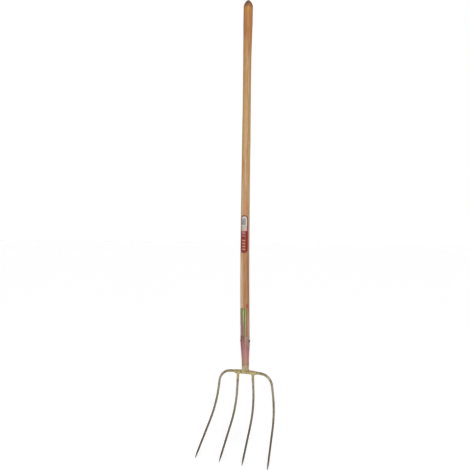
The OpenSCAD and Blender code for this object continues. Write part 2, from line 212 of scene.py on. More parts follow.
def turned(name, outline, centre=shaft_axis, along=UP, sides=96):
    """Spins an outline of (radius, distance along the axis) points round an axis."""
    outward = UP if along == RIGHT else RIGHT
    piece = pencilled(name, [centre + outward * radius + along * distance for radius, distance in outline])
    bpy.ops.mesh.spin(steps=sides, angle=2 * pi, center=centre, axis=along)
    bpy.ops.mesh.select_all(action="SELECT")
    bpy.ops.mesh.remove_doubles(threshold=merge_gap)
    faced_outwards()
    return settled(piece)

# %% [markdown]
# ## The ash shaft
# A shaft like this comes off a copy lathe: thick and straight at the socket, slim where the upper hand
# slides, then a long flare into a straight knob with a rounded end. One spun outline gives all of
# that. The heights come from the frame, and the flare is a parabola, which meets the hand hold with no
# corner. Below the mouth the shaft steps down to the bore of the socket.

# %% Turn the shaft
socket_low, socket_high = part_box("socket")
neck_low, neck_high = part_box("neck")
strap_low, strap_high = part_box("front_strap")

fit_gap = 0.1 * mm
wall = 1.8 * mm
wood_step = 0.3 * mm
grip_r = 15.1 * mm
mouth_length = 30 * mm
cone_length = 60 * mm
dome_height = 26 * mm
knob_length = 69 * mm
flare_length = 186 * mm
dome_fullness = 1.6
socket_r = (socket_high.x - socket_low.x) / 2
neck_r = (neck_high.x - neck_low.x) / 2
bore_r = socket_r - wall
tail_r = neck_r - wall
wood_r = socket_r - wood_step
knob_r = (shaft_high.x - shaft_low.x) / 2
mouth_z = socket_high.z
cone_z = mouth_z - mouth_length
tail_z = cone_z - cone_length
strap_top_z = strap_high.z
knob_z = shaft_high.z - dome_height
flare_z = knob_z - knob_length
grip_z = flare_z - flare_length


def steps(start, end, count):
    """Evenly spaced values from start to end."""
    return [start + (end - start) * i / count for i in range(count + 1)]


def clamped(share):
    """A share held between 0 and 1."""
    return min(1, max(0, share))


def shaft_r(z):
    """Radius of the shaft between the mouth of the socket and the knob."""
    if z >= flare_z:
        return knob_r
    if z >= grip_z:
        return grip_r + (knob_r - grip_r) * ((z - grip_z) / (flare_z - grip_z)) ** 2
    return wood_r + (grip_r - wood_r) * clamped((z - strap_top_z) / (grip_z - strap_top_z))


def dome_r(share):
    """Radius of the rounded end at a share of its height."""
    return knob_r * max(0, 1 - share ** dome_fullness) ** (1 / dome_fullness)


dome_shares = [sin(turn) for turn in steps(0, pi / 2, 16)]
shaft_outline = [(0, shaft_low.z), (tail_r - fit_gap, shaft_low.z), (tail_r - fit_gap, tail_z),
                 (bore_r - fit_gap, cone_z), (bore_r - fit_gap, mouth_z + fit_gap)]
shaft_outline += [(shaft_r(z), z) for z in steps(mouth_z + fit_gap, flare_z, 110)]
shaft_outline += [(dome_r(share), knob_z + dome_height * share) for share in dome_shares]
ash_shaft = turned("ash_shaft", shaft_outline)
print("shaft, metres:", round(shaft_high.z - shaft_low.z, 3))

# %% [markdown]
# Wood never leaves the lathe perfectly even. A Displace modifier with a slow cloud pattern gives the
# unevenness, held to the free wood by a vertex group so that nothing moves at the straps.

# %% Let the wood be uneven
uneven_from = 20 * mm
uneven_ease = 80 * mm


def clouds(name, size):
    """A cloud pattern for Displace modifiers."""
    pattern = bpy.data.textures.new(name, "CLOUDS")
    pattern.noise_scale = size
    return pattern


def dented(piece, pattern, depth, group=""):
    """Pushes the surface in and out by a pattern."""
    return modified(piece, "DISPLACE", texture=pattern, texture_coords="LOCAL", strength=depth,
                    mid_level=0.5, vertex_group=group)


free_wood = ash_shaft.vertex_groups.new(name="free_wood")
for corner in ash_shaft.data.vertices:
    weight = clamped((corner.co.z - strap_top_z - uneven_from) / uneven_ease)
    free_wood.add([corner.index], weight, "REPLACE")
dented(ash_shaft, clouds("lathe_marks", 60 * mm), 0.7 * mm, free_wood.name)
print("wood is uneven above, metres:", round(strap_top_z + uneven_from, 3))

# %% [markdown]
# ## Straps let into the wood
# Each strap is a tongue of the socket's own sheet, curved with the shaft and rounded at its top. It
# could be a flat plate bent round, but cutting is truer: a thin tube is spun at the strap's radius, and
# a flat plate with two rounded corners stamps the tongue out of it. The same stamp, a little larger,
# cuts the rebate in the wood, so the fit is right by construction.

# %% Stamp the straps and their rebates
strap_width = strap_high.x - strap_low.x
strap_corner = 5 * mm


def stamp(name, width, low_z, high_z, corner):
    """A plate that stands in front of the shaft's axis, with its two top corners rounded."""
    bpy.ops.mesh.primitive_plane_add(size=1, location=(0, axis_y, (low_z + high_z) / 2),
                                     rotation=(pi / 2, 0, 0))
    piece = opened(name)
    bpy.ops.transform.resize(value=(width, 1, high_z - low_z), center_override=piece.location)
    pick(piece, lambda corner_point: corner_point.co.y > 0)
    bpy.ops.mesh.bevel(affect="VERTICES", offset=corner, segments=10)
    bpy.ops.mesh.select_all(action="SELECT")
    extruded(-2 * socket_r * BACK)
    faced_outwards()
    return settled(piece)


def half_turned(piece, name):
    """A copy of a piece with its own mesh, turned half round the shaft."""
    only(piece)
    bpy.ops.object.duplicate(linked=False)
    copy = named(name)
    bpy.ops.transform.rotate(value=pi, orient_axis="Z", center_override=shaft_axis)
    return settled(copy)


def tongue(name, low_z, high_z, room):
    """A strap-shaped piece of tube, with some room all round it."""
    inner_r, outer_r, top_z = bore_r - room, socket_r + room, high_z + room
    tube = turned(name, [(inner_r, low_z), (outer_r, low_z), (outer_r, top_z), (inner_r, top_z),
                         (inner_r, low_z)])
    plate = stamp("stamp", strap_width + 2 * room, low_z - mm, top_z, strap_corner + room)
    return carved(tube, "INTERSECT", plate)


rebate = tongue("rebate", mouth_z, strap_top_z, fit_gap)
carved(ash_shaft, "DIFFERENCE", rebate, half_turned(rebate, "back_rebate"))
front_strap = tongue("front_strap_plate", strap_low.z, strap_top_z, 0)
print("strap width, mm:", round(strap_width / mm, 1))

# %% [markdown]
# The straps are held by rivets that were set in countersunk holes and dressed flush, so on the surface
# only a faint ring shows. The holes are cut with a spun plug, and the rivets are the same plug a tenth
# of a millimetre smaller, trimmed by a cylinder to follow the round of the strap.

# %% Drill the straps and set the flush rivets
rivet_low, rivet_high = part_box("strap_rivets")
head_r = 4.5 * mm
shank_r = 2.5 * mm
head_depth = 1.5 * mm
rivet_heights = (rivet_low.z + head_r, rivet_high.z - head_r)


def plug(name, z, room):
    """A rivet with a countersunk head at both ends, through the shaft from front to back."""
    reach = socket_r + mm
    sink = socket_r - head_depth
    half = [(shank_r + room, sink), (head_r + room, socket_r), (head_r + room, reach), (0, reach)]
    outline = [(radius, -distance) for radius, distance in half[::-1]] + half
    return turned(name, outline, centre=Vector((0, axis_y, z)), along=BACK, sides=64)


for z in rivet_heights:
    carved(front_strap, "DIFFERENCE", plug("drill", z, fit_gap))
softened(front_strap, 0.25 * mm, segments=2)
back_strap = half_turned(front_strap, "back_strap_plate")

flush_rivets = []
for z in rivet_heights:
    rivet = plug("flush_rivet", z, 0)
    skin = turned("skin", [(0, z - 2 * head_r), (socket_r, z - 2 * head_r),
                           (socket_r, z + 2 * head_r), (0, z + 2 * head_r)])
    flush_rivets.append(softened(carved(rivet, "INTERSECT", skin), 0.15 * mm, segments=2))
only(*flush_rivets)
bpy.ops.object.join()
strap_rivets = named("flush_rivets")
for piece in (ash_shaft, front_strap, back_strap, strap_rivets):
    smooth(piece)

# %% [markdown]
# ## The socket
# The socket is sheet steel rolled to a cone, with a straight mouth round the wood and a narrow tail
# round the neck. It is spun as a closed outline, outside and inside, so that it has its real wall. A
# Bevel modifier then breaks the sharp lip, which is what catches the light on real sheet.

# %% Spin the socket
rim_flat = 0.3 * mm
rim_z = socket_low.z
rim_bevel = wall - rim_flat
socket_outline = [(tail_r, rim_z), (neck_r - rim_bevel, rim_z), (neck_r, rim_z + rim_bevel),
                  (neck_r, tail_z), (socket_r, cone_z), (socket_r, mouth_z), (bore_r, mouth_z),
                  (bore_r, cone_z), (tail_r, tail_z), (tail_r, rim_z)]
socket = turned("rolled_socket", socket_outline)
softened(socket, 0.5 * mm)
smooth(socket)

# %% [markdown]
# ## The forged neck
# Below the socket the steel is one forged stub: round at the top, hammered flat front and back towards
# the bow, and hollowed underneath so that it sits astride the bar. A cylinder is cut by a die drawn in
# side view, its top is inset and raised into the spigot that goes up the socket, and a cylinder the size
# of the bar cuts the saddle. After a bevel, a voxel Remesh gives it an even skin of small faces, which
# can take the dents of the hammer.

# %% Forge the neck
bow_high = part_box("outer_tine_bow")[1]
bar_r = 7.8 * mm
thick_drop = 1.5 * mm
neck_half = 6.5 * mm
weld_gap = 0.05 * mm
mid_z = bow_high.z - bar_r
bow_z = mid_z + thick_drop
neck_flat_z = rim_z - rim_bevel


def rod(name, radius, length, place, rotation=(0, 0, 0)):
    """A plain round bar, used only as a cutting tool or a blank."""
    bpy.ops.mesh.primitive_cylinder_add(vertices=96, radius=radius, depth=length, location=place,
                                        rotation=rotation)
    return settled(named(name))


neck = rod("forged_neck", neck_r, neck_flat_z - neck_low.z, (0, axis_y, (neck_flat_z + neck_low.z) / 2))
back_half = [(neck_half, neck_low.z - mm), (neck_half, bow_high.z), (neck_r, neck_flat_z),
              (neck_r, neck_flat_z + mm)]
side_view = [(-y, z) for y, z in back_half[:1]] + back_half + [(-y, z) for y, z in back_half[:0:-1]]
die = pencilled("die", [Vector((-neck_r - mm, axis_y + y, z)) for y, z in side_view])
bpy.ops.mesh.edge_face_add()
extruded(2 * (neck_r + mm) * RIGHT)
faced_outwards()
carved(neck, "INTERSECT", settled(die))
opened("forged_neck")
pick(neck, lambda face: face.normal.z > 0.9, "faces")
extruded(rim_bevel * UP)
shrink = 1 - rim_bevel / neck_r
bpy.ops.transform.resize(value=(shrink, shrink, 1), center_override=(0, axis_y, rim_z))
bpy.ops.mesh.inset(thickness=neck_r - rim_bevel - tail_r + fit_gap)
extruded((neck_high.z - rim_z) * UP)
settled(neck)
saddle = rod("saddle", bar_r + weld_gap, 4 * neck_r, (0, axis_y, mid_z), (0, pi / 2, 0))
carved(neck, "DIFFERENCE", saddle)
softened(neck, 0.7 * mm)
modified(neck, "REMESH", mode="VOXEL", voxel_size=0.5 * mm)
modified(neck, "SMOOTH", factor=0.5, iterations=2)
struck = neck.vertex_groups.new(name="struck")
struck.add([corner.index for corner in neck.data.vertices if corner.co.z < neck_flat_z], 1, "REPLACE")
dented(neck, clouds("hammer_faces", 7 * mm), 0.9 * mm, struck.name)
smooth(neck)

# %% [markdown]
# ## The bow and the tines
# The bow and both outer tines are one long bar, drawn thinner towards its ends and bent hot. The inner
# tines are shorter bars of the same kind. A Bezier curve with automatic handles is the natural tool: it
# runs through a few stations, each with its own thickness, and its bevel makes the bar. The stations
# come from the bends themselves: a wide arch, two tight shoulders, a straight drop, then one long bend
# forward. The bow is thickest in its middle, where the neck and the inner tines are forged on, and most
# of that extra steel hangs below the line of its slim arms. Once it is a mesh, a fine displacement
# leaves a forged, not a cast, surface.

# %% The bends of a tine
outer_x = 104 * mm
inner_x = 30.5 * mm
outer_splay = radians(7.9)
inner_splay = radians(2.9)
straight_drop = 66 * mm
dish_radius = 232 * mm
dish_angle = radians(32.3)
root_r = 4.4 * mm
inner_root_r = 5.1 * mm
inner_root_length = 30 * mm
inner_root_ease = 20 * mm
point_r = 3.6 * mm
tip_r = 0.8 * mm
point_z = 30 * mm
dish_start = bow_z - straight_drop
bend_drop = dish_radius * sin(dish_angle)
bend_z = dish_start - bend_drop
tip_z = tip_r * sin(atan(hypot(tan(outer_splay), tan(dish_angle))))


def dish(z):
    """How far the tine has come forward at a height."""
    drop = max(0, dish_start - z)
    if drop <= bend_drop:
        return dish_radius - sqrt(dish_radius ** 2 - drop ** 2)
    return dish_radius * (1 - cos(dish_angle)) + (drop - bend_drop) * tan(dish_angle)


def eased(share):
    """1 up to a share of 0, then smoothly down to 0 at a share of 1."""
    return (1 + cos(pi * clamped(share))) / 2


def tine_thickness(z, root_z):
    """Radius of a tine at a height: a slow taper, then a rounded point."""
    if z >= point_z:
        return point_r + (root_r - point_r) * (z - point_z) / (root_z - point_z)
    return tip_r + (point_r - tip_r) * sin(pi / 2 * (z - tip_z) / (point_z - tip_z))


def root_growth(z):
    """How much thicker an inner tine is near its root: fully at first, then easing away."""
    return (inner_root_r - root_r) * eased((bow_z - inner_root_length - z) / inner_root_ease)


def tine_stations(x, splay, root_z):
    """Stations (place, radius) down a tine that leans out from x at the height of the bow."""
    heights = steps(root_z, dish_start, 6)[:-1]
    heights += [dish_start - dish_radius * sin(turn) for turn in steps(0, dish_angle, 8)]
    heights += steps(bend_z, point_z, 3)[1:] + steps(point_z, tip_z, 5)[1:]
    return [(Vector((x + (bow_z - z) * tan(splay), axis_y - dish(z), z)), tine_thickness(z, root_z))
            for z in heights]


print("tines come forward, mm:", round(dish(tip_z) / mm, 1))

# %% The bends of the bow
arch_r = 880 * mm
shoulder_r = 47 * mm
arm_r = 5.7 * mm
arm_ease = 12 * mm
thick_margin = 1.9 * mm
thick_x = inner_x + inner_root_r + thick_margin
between = arch_r - shoulder_r
leg_reach = outer_x * cos(outer_splay) + arch_r * sin(outer_splay) - shoulder_r
arch_turn = outer_splay + acos(leg_reach / between)
arch_centre = Vector((0, axis_y, bow_z - arch_r))
shoulder = Vector((between * cos(arch_turn), axis_y, bow_z - arch_r + between * sin(arch_turn)))
leg_top = shoulder + shoulder_r * Vector((cos(outer_splay), 0, sin(outer_splay)))


def thickening(x):
    """Share of the bow's extra thickness at a distance from its middle: all, then a smooth ease."""
    return eased((x - thick_x) / arm_ease)


def bow_thickness(x):
    """Radius of the bow at a distance from its middle: a thick middle on slowly tapered arms."""
    share = clamped((x - thick_x) / (leg_top.x - thick_x))
    return arm_r + (root_r - arm_r) * share + (bar_r - arm_r) * thickening(x)


def arc_stations(centre, radius, start, end, count):
    """Stations along a bend of the bow."""
    places = [centre + radius * Vector((cos(turn), 0, sin(turn))) for turn in steps(start, end, count)]
    return [(place - thick_drop * thickening(place.x) * UP, bow_thickness(place.x)) for place in places]


half_bow = arc_stations(arch_centre, arch_r, pi / 2, arch_turn, 16)
half_bow += arc_stations(shoulder, shoulder_r, arch_turn, outer_splay, 6)[1:-1]
half_bow += tine_stations(outer_x, outer_splay, leg_top.z)
other_half = [(Vector((-place.x, place.y, place.z)), radius) for place, radius in half_bow[:0:-1]]
print("stations along the bow:", len(other_half + half_bow))

# %% Draw the bars
root_sink = 0.6


def drawn_bar(name, stations):
    """A round bar through stations of (place, radius), capped at both ends."""
    bpy.ops.curve.primitive_bezier_curve_add()
    bar = named(name)
    points = bar.data.splines[0].bezier_points
    points.add(len(stations) - len(points))
    for point, (place, radius) in zip(points, stations):
        point.co = place
        point.radius = radius / mm
        point.handle_left_type = point.handle_right_type = "AUTO"
    bar.data.dimensions = "3D"
    bar.data.resolution_u = 6
    bar.data.bevel_depth = mm
    bar.data.bevel_resolution = 6
    bar.data.use_fill_caps = True
    only(bar)
    bpy.ops.object.convert(target="MESH")
    opened(name)
    bpy.ops.mesh.remove_doubles(threshold=merge_gap)
    faced_outwards()
    return settled(bar)


forge_scale = clouds("forge_scale", 9 * mm)
outer_bow = drawn_bar("bow_and_outer_tines", other_half + half_bow)
inner_tines = {}
for side, name in ((-1, "left_inner_tine"), (1, "right_inner_tine")):
    stations = tine_stations(inner_x, inner_splay, mid_z - bar_r * root_sink)
    stations = [(Vector((side * place.x, place.y, place.z)), radius + root_growth(place.z))
                for place, radius in stations]
    inner_tines[side] = drawn_bar(name, stations)
for bar in (outer_bow, *inner_tines.values()):
    dented(bar, forge_scale, 0.25 * mm)
    smooth(bar)

# %% [markdown]
# ## The welds
# A weld bead is a row of drops, each frozen over the edge of the one before. So that is how it is made
# here: small balls are laid along the seam closer than their own width, and a voxel Remesh melts them
# into one skin that keeps the ripples. Bump alone would not do, because the edge of a bead shows in
# outline against the light.

# %% Beads along a seam
weld_proud = 0.3 * mm
strap_drop = 1.05 * mm
ring_drop = 1.5 * mm
bow_drop = 2.2 * mm


def bead(name, seams, drop_r, voxel):
    """Rippled weld metal along seams, each a list of places."""
    bpy.ops.mesh.primitive_ico_sphere_add(subdivisions=2, radius=drop_r, location=seams[0][0])
    first = bpy.context.object
    drops = [first]
    for place in [place for seam in seams for place in seam][1:]:
        drop = bpy.data.objects.new("drop", first.data.copy())
        drop.location = place
        bpy.context.collection.objects.link(drop)
        drops.append(drop)
    only(*drops)
    bpy.ops.object.join()
    piece = settled(named(name))
    modified(piece, "REMESH", mode="VOXEL", voxel_size=voxel)
    modified(piece, "SMOOTH", factor=0.5, iterations=2)
    return smooth(piece, radians(80))


def round_seam(radius, z, start, end, pitch):
    """Places round the shaft's axis, with 0 at the front and angles growing to the right."""
    count = max(2, round(radius * (end - start) / pitch))
    return [round_shaft(turn, radius, z) for turn in steps(start, end, count)]


strap_reach = asin(strap_width / 2 / socket_r)
strap_weld_z = (mouth_z + strap_low.z) / 2
strap_seam_r = socket_r + weld_proud - strap_drop
strap_seam = round_seam(strap_seam_r, strap_weld_z, -strap_reach, strap_reach, 0.9 * mm)
front_weld = bead("front_strap_bead", [strap_seam], strap_drop, 0.22 * mm)
back_weld = half_turned(front_weld, "back_strap_bead")

ring_seam = round_seam(neck_r + weld_proud - ring_drop, rim_z, 0, 2 * pi, 1.3 * mm)
ring_weld = bead("ring_bead", [ring_seam[:-1]], ring_drop, 0.3 * mm)

bow_weld_x = sqrt(neck_r ** 2 - neck_half ** 2)
bow_seams = [[Vector((x, axis_y + y, neck_low.z)) for x in steps(-bow_weld_x, bow_weld_x, 13)]
             for y in (-neck_half, neck_half)]
bow_weld = bead("bow_beads", bow_seams, bow_drop, 0.35 * mm)

# %% [markdown]
# Under the bow, each inner tine grows out of a fillet of weld metal that flares into the bar. Its outline
# is a hollow curve, wide along the bow and narrow across it. Extruding a circle upwards and stretching
# each new ring by hand gives just that, and a coarse displacement stands for the weld's runs.

# %% Fillets at the inner tines
fillet_height = 8 * mm
fillet_wide = inner_root_r + 3.2 * mm
fillet_deep = inner_root_r + 0.65 * mm
fillet_start = inner_root_r + 0.15 * mm
fillet_hollow = 1.5
collar_taper = 0.97
collar_rise = 0.8
fillet_low_z = mid_z - bar_r - fillet_height
weld_runs = clouds("weld_runs", 2.2 * mm)


def fillet_ring(turn):
    """Width, depth and rise of the fillet's outline at a turn of its quarter hollow."""
    flare = 1 - cos(turn)
    return (fillet_start + (fillet_wide - fillet_start) * flare * sin(turn) ** fillet_hollow,
            fillet_start + (fillet_deep - fillet_start) * flare, fillet_height * sin(turn))


def fillet(name, side):
    """A flared collar of weld metal round the root of an inner tine."""
    lean = Vector((-side * tan(inner_splay), 0, 1))
    place = Vector((side * inner_x, axis_y, bow_z)) - lean * (bow_z - fillet_low_z)
    bpy.ops.mesh.primitive_circle_add(vertices=48, radius=fillet_start, location=place, fill_type="NGON")
    piece = opened(name)
    rings = [fillet_ring(turn) for turn in steps(0, pi / 2, 8)]
    rings.append((fillet_wide, fillet_deep * collar_taper, fillet_height + bar_r * collar_rise))
    for (wide, deep, rise), (new_wide, new_deep, new_rise) in zip(rings, rings[1:]):
        extruded(lean * (new_rise - rise))
        bpy.ops.transform.resize(value=(new_wide / wide, new_deep / deep, 1),
                                 center_override=place + lean * new_rise)
    faced_outwards()
    settled(piece)
    softened(piece, 0.3 * mm, segments=2, angle=radians(50))
    modified(piece, "SUBSURF", levels=1, render_levels=1)
    dented(piece, weld_runs, 0.45 * mm)
    return smooth(piece, radians(80))


root_welds = {side: fillet(name, side) for side, name in ((-1, "left_root_weld"), (1, "right_root_weld"))}

# %% [markdown]
# ## The side rivet
# One more rivet crosses the socket from left to right, and its round heads stand out at the limbs. The
# whole rivet is spun at once about its own axis: head, shank, head. The heads were hammered down, so they
# stand a little lower than a new rivet's, and a displacement leaves the marks of the hammer on them.

# %% Spin the side rivet
side_low, side_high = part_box("side_rivet")
hammered_share = 0.7
side_shank_r = 3 * mm
side_z = (side_low.z + side_high.z) / 2
side_head_r = (side_high.z - side_low.z) / 2
side_rise = hammered_share * (side_high.x - socket_r)
skirt_x = sqrt(socket_r ** 2 - side_head_r ** 2)
right_half = [(side_shank_r, skirt_x), (side_head_r, skirt_x)]
right_half += [(side_head_r * cos(turn), socket_r + side_rise * sin(turn)) for turn in steps(0, pi / 2, 10)]
rivet_outline = [(radius, -x) for radius, x in right_half[::-1]] + right_half
side_rivet = turned("side_rivet_heads", rivet_outline, Vector((0, axis_y, side_z)), RIGHT, sides=48)
softened(side_rivet, 0.25 * mm, segments=2)
dented(side_rivet, clouds("hammer_marks", 3 * mm), 0.3 * mm)
smooth(side_rivet)

# %% [markdown]
# ## The film label and its sticker
# The label is a printed film wrapped over the front of the shaft. A flat plate with round ends is cut
# into strips, so that it can bend, and gets its UV map while it is still flat: the print then follows
# the film however it is wrapped. Shrinkwrap presses it straight onto the turned wood, and Solidify gives
# it its thickness. The paper sticker is made the same way, one film higher.

# %% Wrap a film round the shaft
label_low, label_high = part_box("label")
label_length = label_high.z - label_low.z
label_turn = radians(14)
label_width = 26.4 * mm
sticker_width = 21 * mm
film_gap = 0.1 * mm
label_film = 0.25 * mm
sticker_film = 0.2 * mm
strip = 1.2 * mm
end_flat = 0.05 * mm


def wrapped(name, width, cad_node, round_low, gap, thickness):
    """A film with a round top, and a round foot if asked, pressed onto the shaft."""
    low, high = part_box(cad_node)
    length = high.z - low.z
    bpy.ops.mesh.primitive_plane_add(size=1, location=(0, 0, 0), rotation=(pi / 2, 0, 0))
    bpy.ops.object.transform_apply(rotation=True)
    piece = opened(name)
    bpy.ops.transform.resize(value=(width, 1, length), center_override=(0, 0, 0))
    pick(piece, lambda corner: round_low or corner.co.z > 0)
    bpy.ops.mesh.bevel(affect="VERTICES", offset=width / 2 - end_flat, segments=16)
    for size, across, pitch in ((width, RIGHT, strip), (length, UP, 3 * strip)):
        for place in steps(-size / 2, size / 2, round(size / pitch))[1:-1]:
            bpy.ops.mesh.select_all(action="SELECT")
            bpy.ops.mesh.bisect(plane_co=place * across, plane_no=across)
    bpy.ops.object.mode_set(mode="OBJECT")
    layer = piece.data.uv_layers.new(name="print")
    for loop in piece.data.loops:
        flat = piece.data.vertices[loop.vertex_index].co
        layer.data[loop.index].uv = (flat.x / width + 0.5, flat.z / length + 0.5)
    piece.location = round_shaft(label_turn, 2 * socket_r, (low.z + high.z) / 2)
    piece.rotation_euler.z = label_turn
    bpy.context.view_layer.update()
    modified(piece, "SHRINKWRAP", target=ash_shaft, wrap_method="PROJECT", use_project_y=True, offset=gap)
    modified(piece, "SOLIDIFY", thickness=thickness, offset=1)
    return smooth(settled(piece))


label = wrapped("red_label", label_width, "label", True, film_gap, label_film)
sticker = wrapped("paper_sticker", sticker_width, "sticker", False, 2 * film_gap + label_film, sticker_film)

# %% [markdown]
# ## A crook in the shaft
# A long shaft takes a gentle crook as it dries. A lattice gives it: a cage of a few points along the
# shaft, most of them pushed a few millimetres sideways, bends the whole length without a kink. All that
# is fixed to the wood is bent by the same cage, so the straps stay in their rebates and the label on
# its place. The neck and the tines below are left out.

# %% Bend the shaft
crook_shape = (0, 0.48, 0.72, 0.92, 0.95, 0.88, 0.81, 0.67, 0.55, 0.5, 0.45, 0.2, -0.1)
crook_depth = 6.5 * mm
crook_length = shaft_high.z - rim_z
cage_width = 0.1
bpy.ops.object.add(type="LATTICE", location=(0, axis_y, rim_z + crook_length / 2))
crook_cage = bpy.context.object
crook_cage.scale = (cage_width, cage_width, crook_length)
crook_cage.data.points_u = crook_cage.data.points_v = 2
crook_cage.data.points_w = len(crook_shape)
for i, point in enumerate(crook_cage.data.points):
    point.co_deform.x -= crook_shape[i // 4] * crook_depth / cage_width
bpy.context.view_layer.update()
for piece in (ash_shaft, socket, front_strap, back_strap, front_weld, back_weld, side_rivet, strap_rivets,
              label, sticker):
    modified(piece, "LATTICE", object=crook_cage)
bpy.data.objects.remove(crook_cage)
print("crook, mm:", crook_depth / mm)

# %% [markdown]
# ## Building materials from nodes
# Every finish below is a Principled shader fed by a few procedural patterns. Real wood and plated steel
# are never one colour, so each has a slow change of tone along the fork, streaks at the scale of the
# grain or of the plating bath, and a bump that goes with them. Most helpers add a node to the tree of
# the sockets that they are given, and return its output. Colours are written as they look on a screen
# and turned into the linear light that the shader works in.

# %% Node helpers
WHITE = (255, 255, 255)
BLACK = (0, 0, 0)


def screen(red, green, blue):
    """A colour as seen on a screen, 0 to 255, in linear light."""
    def linear(value):
        value /= 255
        return value / 12.92 if value <= 0.04045 else ((value + 0.055) / 1.055) ** 2.4
    return (linear(red), linear(green), linear(blue), 1)


def finish(name, **constants):
    """A new material, its node tree and its shader, with what is the same all over set on the shader."""
    material = bpy.data.materials.new(name)
    material.use_nodes = True
    shader = material.node_tree.nodes["Principled BSDF"]
    for key, value in constants.items():
        shader.inputs[key.replace("_", " ")].default_value = value
    return material, material.node_tree, shader


def feed(entry, value):
    """Links a node's input to a socket, or sets its value."""
    if isinstance(value, bpy.types.NodeSocket):
        entry.id_data.links.new(value, entry)
    else:
        entry.default_value = value


def node(tree, kind, settings=None, **inputs):
    """Adds a node with some settings and inputs."""
    made = tree.nodes.new("ShaderNode" + kind)
    for key, value in (settings or {}).items():
        setattr(made, key, value)
    for key, value in inputs.items():
        feed(made.inputs[key.replace("_", " ")], value)
    return made


def tree_of(*values):
    """The node tree of the first of these values that is a socket."""
    return next(value.id_data for value in values if isinstance(value, bpy.types.NodeSocket))


def reckon(operation, *values, kind="Math"):
    """One step of arithmetic on numbers, or with VectorMath on vectors, that gives a number."""
    made = node(tree_of(*values), kind, {"operation": operation})
    for entry, value in zip(made.inputs, values):
        feed(entry, value)
    return made.outputs["Value"]


def plus(first, second):
    """The sum of two values."""
    return reckon("ADD", first, second)


def less(first, second):
    """The first value less the second."""
    return reckon("SUBTRACT", first, second)


def times(first, second):
    """The product of two values."""
    return reckon("MULTIPLY", first, second)


def spread(value, low, high, new_low=0.0, new_high=1.0):
    """Stretches a range of values onto another, and holds what lies outside it at the ends."""
    return node(value.id_data, "MapRange", Value=value, From_Min=low, From_Max=high, To_Min=new_low,
                To_Max=new_high).outputs[0]


def mixed(share, first, second, how="MIX"):
    """Mixes two colours, each a socket or a colour as seen on a screen."""
    made = node(tree_of(share, first, second), "Mix", {"data_type": "RGBA", "blend_type": how})
    feed(made.inputs[0], share)
    for entry, colour in ((made.inputs[6], first), (made.inputs[7], second)):
        feed(entry, screen(*colour) if isinstance(colour, tuple) else colour)
    return made.outputs[2]


def ramp(value, stops, interpolation="LINEAR"):
    """A colour for each value, through stops of (value, colour as seen on a screen)."""
    made = node(value.id_data, "ValToRGB", Fac=value)
    made.color_ramp.interpolation = interpolation
    elements = made.color_ramp.elements
    while len(elements) < len(stops):
        elements.new(1)
    for element, (place, colour) in zip(elements, stops):
        element.position = place
        element.color = screen(*colour)
    return made.outputs[0]


def point_of(tree):
    """The shaded point in Object coordinates, in metres."""
    return node(tree, "TexCoord").outputs["Object"]


def place_of(tree):
    """The X, Y and Z of the shaded point."""
    return node(tree, "SeparateXYZ", Vector=point_of(tree)).outputs


def noise(tree, across, along, detail=4.0):
    """Noise with so many waves per metre across the shaft and along it."""
    squeezed = node(tree, "Mapping", Vector=point_of(tree), Scale=(across, across, along)).outputs[0]
    return node(tree, "TexNoise", Vector=squeezed, Scale=1.0, Detail=detail, Roughness=0.55).outputs[0]


def coated(shader, colour, rough, relief, depth, strength):
    """Feeds a colour, a roughness and a bump to the shader."""
    feed(shader.inputs["Base Color"], colour)
    feed(shader.inputs["Roughness"], rough)
    bump = node(shader.id_data, "Bump", Height=relief, Distance=depth, Strength=strength)
    feed(shader.inputs["Normal"], bump.outputs[0])

# %% [markdown]
# ## Oiled ash
# Ash is pale with long brown lines where the spring wood was, and pores that show as short dashes. The
# lines come from noise squeezed across the shaft and stretched along it. The tone also changes with
# height: warm and handled at the knob, paler in the middle, and dark on the end grain of the dome. On the
# right above the socket the wood is darker, which is painted shade, and painted shade also darkens it
# along the edges of the straps. Oil leaves a soft sheen, and the pores take it away.

# %% Patterns in the wood
def growth_rings(tree):
    """1 in the brown spring wood and 0 between, in rings round a pith that leans past the shaft."""
    ring_width = 5.5 * mm
    wander = 4 * mm
    pith = (38 * mm, -20 * mm - axis_y, 0)
    lean = (radians(0.7), radians(-0.9), 0)
    leaned = node(tree, "Mapping", Vector=point_of(tree), Location=pith, Rotation=lean).outputs[0]
    flat = node(tree, "Mapping", Vector=leaned, Scale=(1, 1, 0)).outputs[0]
    drift = spread(noise(tree, 40, 2.5, 3), 0.3, 0.7, -wander, wander)
    reach = plus(reckon("LENGTH", flat, kind="VectorMath"), drift)
    return spread(reckon("SINE", times(reach, 2 * pi / ring_width)), -0.2, 0.9)


def spot(tree, place, core, edge, tall):
    """1 within the core of a spot and 0 beyond its edge. It is so many times taller than wide."""
    ragged = 2.5 * mm
    centred = node(tree, "Mapping", {"vector_type": "TEXTURE"}, Vector=point_of(tree), Location=place,
                   Scale=(1, 1, tall)).outputs[0]
    tear = spread(noise(tree, 500, 90), 0.3, 0.7, -ragged, ragged)
    return spread(plus(reckon("LENGTH", centred, kind="VectorMath"), tear), core, edge, 1, 0)


def on_wood(turn, z):
    """A place on the bent shaft's surface, at an angle from its front to the right."""
    share = (z - rim_z) / crook_length * (len(crook_shape) - 1)
    low = min(int(share), len(crook_shape) - 2)
    lean = crook_shape[low] + (crook_shape[low + 1] - crook_shape[low]) * (share - low)
    return round_shaft(turn, shaft_r(z), z) - lean * crook_depth * RIGHT


def along_strap(tree):
    """How far right of the bent shaft's middle a point lies, from the mouth to the top of the straps."""
    x, z = place_of(tree)["X"], place_of(tree)["Z"]
    low_lean, high_lean = (share * crook_depth for share in crook_shape[1:3])
    return plus(x, spread(z, mouth_z, strap_top_z, low_lean, high_lean))


